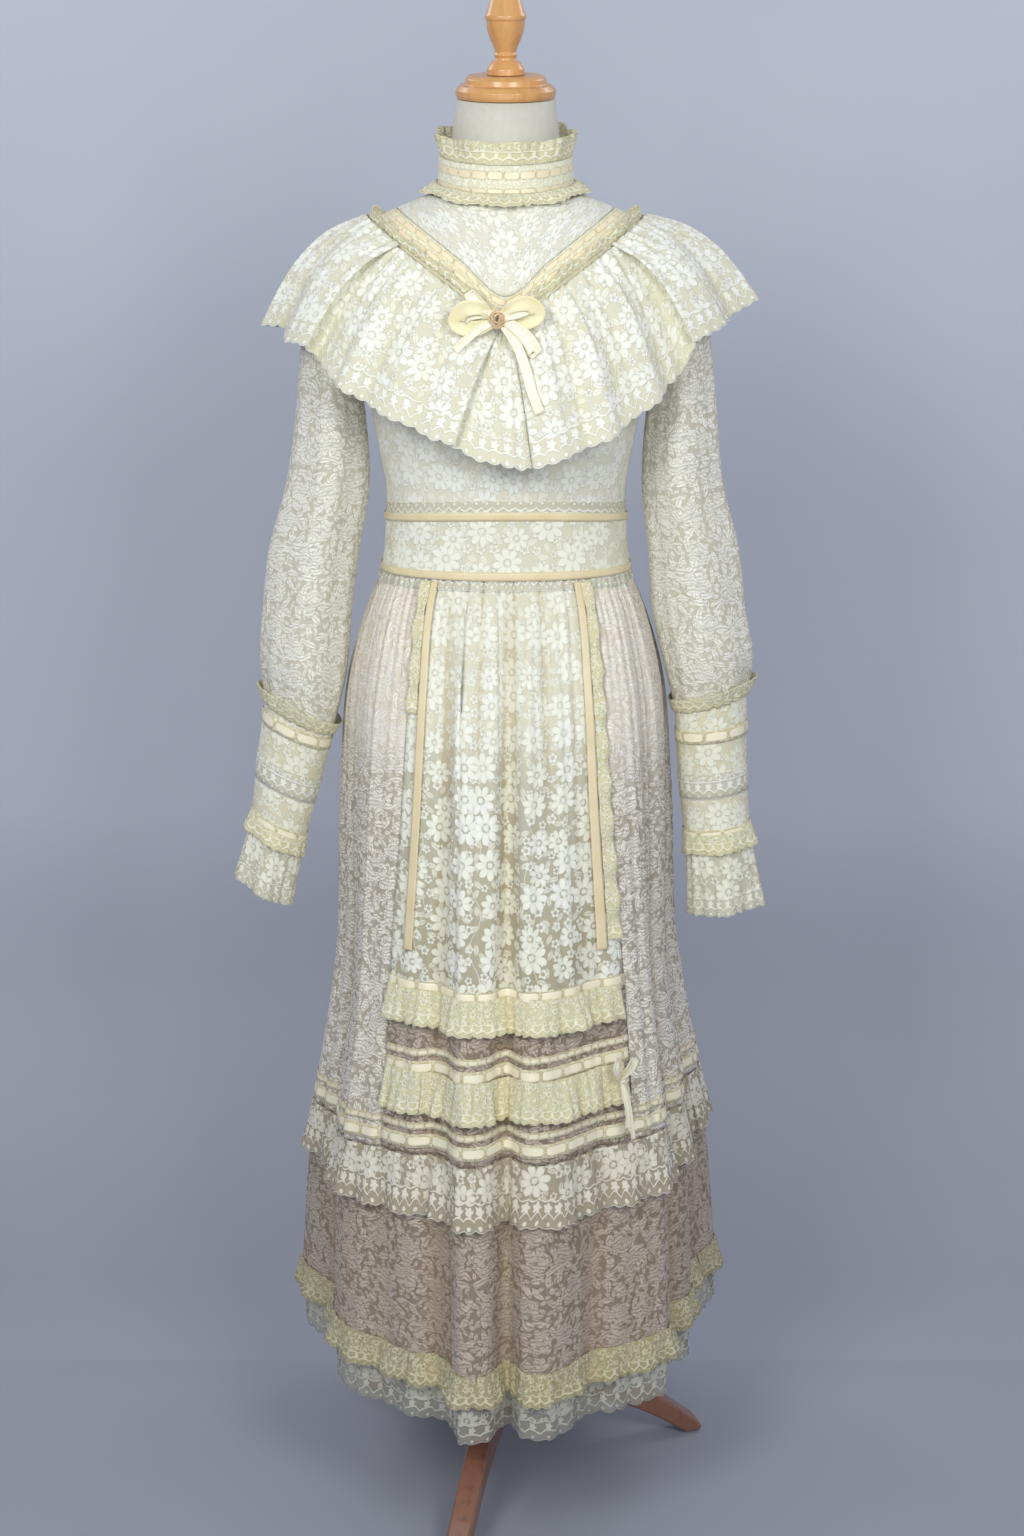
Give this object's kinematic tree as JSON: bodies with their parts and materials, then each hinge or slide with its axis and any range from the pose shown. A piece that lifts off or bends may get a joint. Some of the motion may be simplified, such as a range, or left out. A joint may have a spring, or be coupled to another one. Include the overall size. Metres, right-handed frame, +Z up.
{
  "type": "lace dress on dress form",
  "caption": "Long high-necked lace dress with a ruffled cape collar, sash and tiered skirt, worn by a limbless dress form on a wooden tripod stand.",
  "frame": {"origin": "centre of the bounding box's base, on the floor under the skirt", "axes": "+Z up, -Y out of the dress's front, +X towards the dress's own left side (the viewer's right)"},
  "size_m": [0.5802, 0.5356, 1.6565],
  "materials": {
    "blossom_lace": "cream floral lace on net, over a beige lining",
    "rose_lace": "pink-beige rose lace with open gaps",
    "cape_lace": "off-white floral lace with a scalloped edging",
    "flounce_lace": "off-white scalloped lace edging",
    "cuff_lace": "cream floral lace, lined",
    "sash_lace": "cream floral lace, lined and laid flat",
    "trim_lace": "cream insertion lace with ribbon through its slots",
    "ruffle_lace": "pale yellow-green cream gathered lace",
    "satin_ribbon": "tan satin ribbon",
    "satin_bow": "cream satin and organza ribbon",
    "petticoat_lace": "sheer white net with a corded scalloped edge",
    "lining": "plain beige lining",
    "linen": "woven natural linen cover",
    "pale_wood": "clear varnish",
    "red_wood": "stained and varnished"
  },
  "bodies": {
    "root": {"form_torso": "linen", "neck_cap": "pale_wood", "finial": "pale_wood", "pole": "red_wood", "hub": "red_wood", "leg_front": "red_wood", "leg_right": "red_wood", "leg_back": "red_wood", "bodice_front": "blossom_lace", "yoke_front": "blossom_lace", "yoke_trim_front": "trim_lace", "bodice_back": "blossom_lace", "yoke_back": "blossom_lace", "yoke_trim_back": "trim_lace", "collar_band": "trim_lace", "collar_top_ruffle": "ruffle_lace", "collar_base_ruffle": "ruffle_lace", "cape_front_left": "cape_lace", "cape_front_centre": "cape_lace", "cape_front_right": "cape_lace", "cape_back": "cape_lace", "cape_shoulder_left": "cape_lace", "cape_shoulder_right": "cape_lace", "cape_heading_left": "ruffle_lace", "cape_heading_right": "ruffle_lace", "sleeve_left": "rose_lace", "cuff_left": "cuff_lace", "cuff_ruffle_left": "ruffle_lace", "wrist_ruffle_left": "ruffle_lace", "wrist_frill_left": "cape_lace", "sleeve_right": "rose_lace", "cuff_right": "cuff_lace", "cuff_ruffle_right": "ruffle_lace", "wrist_ruffle_right": "ruffle_lace", "wrist_frill_right": "cape_lace", "sash": "sash_lace", "sash_ribbon_top": "satin_ribbon", "sash_ribbon_bottom": "satin_ribbon", "skirt_front_panel": "blossom_lace", "skirt_front_lower": "rose_lace", "skirt_side_right": "rose_lace", "skirt_back": "rose_lace", "skirt_side_left": "rose_lace", "panel_ribbon_left": "satin_ribbon", "panel_ruffle_left": "ruffle_lace", "panel_ribbon_right": "satin_ribbon", "panel_ruffle_right": "ruffle_lace", "apron_ruffle": "ruffle_lace", "second_ruffle": "ruffle_lace", "bottom_tier_front": "rose_lace", "bottom_tier_back": "rose_lace", "flounce_front": "flounce_lace", "flounce_back": "flounce_lace", "hem_ruffle_front": "ruffle_lace", "hem_ruffle_back": "ruffle_lace", "skirt_lining": "lining", "petticoat_front": "petticoat_lace", "petticoat_back": "petticoat_lace", "bow_front": "satin_bow", "bow_side": "satin_bow"}
  },
  "joints": []
}
